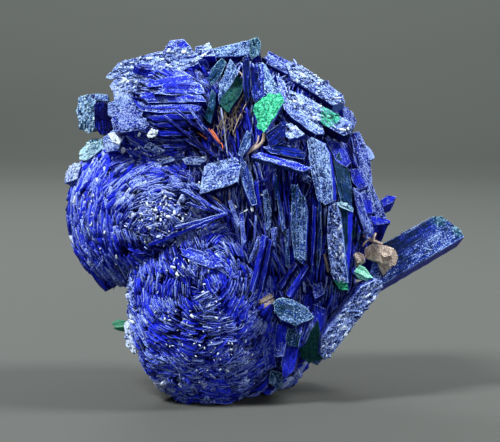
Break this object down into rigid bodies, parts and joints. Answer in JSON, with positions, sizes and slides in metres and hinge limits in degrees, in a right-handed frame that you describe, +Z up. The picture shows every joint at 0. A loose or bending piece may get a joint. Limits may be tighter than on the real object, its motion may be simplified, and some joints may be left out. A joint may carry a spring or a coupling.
{
  "type": "azurite specimen",
  "caption": "Rounded cluster of deep blue azurite crystals, rosettes of thin plates with stout blades, with small malachite crystals and host clay, resting on its flat scar.",
  "frame": {"origin": "on the flat scar where the cluster broke from the rock, under its middle, at the surface it rests on", "axes": "+X to the right, the side the long blade points to; +Y away from the face that shows the rosettes; +Z up"},
  "size_m": [0.0596, 0.039, 0.0541],
  "materials": {
    "azurite": "satin",
    "clay": "matte",
    "malachite": "satin"
  },
  "bodies": {
    "root": {"azurite_cluster": "azurite", "clay_lump": "clay", "clay_crumb": "clay", "malachite_right": "malachite", "malachite_left": "malachite"}
  },
  "joints": []
}
